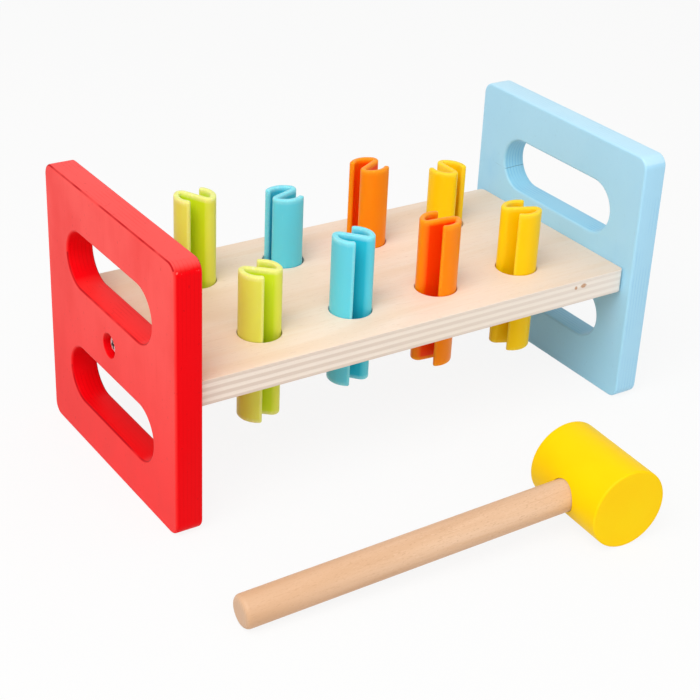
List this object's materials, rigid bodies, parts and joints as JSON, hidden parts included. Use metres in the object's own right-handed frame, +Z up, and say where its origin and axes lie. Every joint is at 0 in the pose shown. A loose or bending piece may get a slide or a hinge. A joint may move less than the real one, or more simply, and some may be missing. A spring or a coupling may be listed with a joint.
{
  "type": "pounding bench toy",
  "caption": "Wooden pounding bench with sprung plastic pegs in a plywood board between painted end panels with hand slots, and a small wooden mallet lying in front of it.",
  "frame": {"origin": "on the floor, under the middle of the room that the bench and the mallet take", "axes": "+X from the red end panel to the blue one, +Y from the mallet towards the bench, +Z up"},
  "size_m": [0.2496, 0.2102, 0.12],
  "materials": {
    "birch_plywood": "bare sanded birch plywood",
    "red_paint": "satin red paint on plywood",
    "blue_paint": "satin pale blue paint on plywood",
    "yellow_paint": "satin yellow paint on turned wood",
    "beech": "clear lacquered beech",
    "green_plastic": "yellow-green moulded plastic",
    "turquoise_plastic": "turquoise moulded plastic",
    "orange_plastic": "orange moulded plastic",
    "yellow_plastic": "warm yellow moulded plastic",
    "screw_steel": "zinc plated steel"
  },
  "bodies": {
    "bench": {"bench_board": "birch_plywood", "red_end_panel": "red_paint", "red_end_screw": "screw_steel", "red_end_dowel_front": "beech", "red_end_dowel_back": "beech", "blue_end_panel": "blue_paint", "blue_end_screw": "screw_steel", "blue_end_dowel_front": "beech", "blue_end_dowel_back": "beech"},
    "green_front_peg": {"green_peg_front": "green_plastic"},
    "blue_front_peg": {"blue_peg_front": "turquoise_plastic"},
    "orange_front_peg": {"orange_peg_front": "orange_plastic"},
    "yellow_front_peg": {"yellow_peg_front": "yellow_plastic"},
    "green_back_peg": {"green_peg_back": "green_plastic"},
    "blue_back_peg": {"blue_peg_back": "turquoise_plastic"},
    "orange_back_peg": {"orange_peg_back": "orange_plastic"},
    "yellow_back_peg": {"yellow_peg_back": "yellow_plastic"},
    "mallet": {"mallet_head": "yellow_paint", "mallet_handle": "beech"}
  },
  "joints": [
    {"name": "green_front_peg_drive", "type": "slide", "parent": "bench", "child": "green_front_peg", "axis": [0, 0, 1], "range_m": [-0.02675, 0.02475]},
    {"name": "blue_front_peg_drive", "type": "slide", "parent": "bench", "child": "blue_front_peg", "axis": [0, 0, 1], "range_m": [-0.03225, 0.01925]},
    {"name": "orange_front_peg_drive", "type": "slide", "parent": "bench", "child": "orange_front_peg", "axis": [0, 0, 1], "range_m": [-0.03025, 0.02125]},
    {"name": "yellow_front_peg_drive", "type": "slide", "parent": "bench", "child": "yellow_front_peg", "axis": [0, 0, 1], "range_m": [-0.02675, 0.02475]},
    {"name": "green_back_peg_drive", "type": "slide", "parent": "bench", "child": "green_back_peg", "axis": [0, 0, 1], "range_m": [-0.03775, 0.01375]},
    {"name": "blue_back_peg_drive", "type": "slide", "parent": "bench", "child": "blue_back_peg", "axis": [0, 0, 1], "range_m": [-0.03005, 0.02145]},
    {"name": "orange_back_peg_drive", "type": "slide", "parent": "bench", "child": "orange_back_peg", "axis": [0, 0, 1], "range_m": [-0.03535, 0.01615]},
    {"name": "yellow_back_peg_drive", "type": "slide", "parent": "bench", "child": "yellow_back_peg", "axis": [0, 0, 1], "range_m": [-0.02595, 0.02555]},
    {"name": "mallet_lift", "type": "slide", "parent": "bench", "child": "mallet", "axis": [0, 0, 1], "range_m": [0, 0.15]}
  ]
}
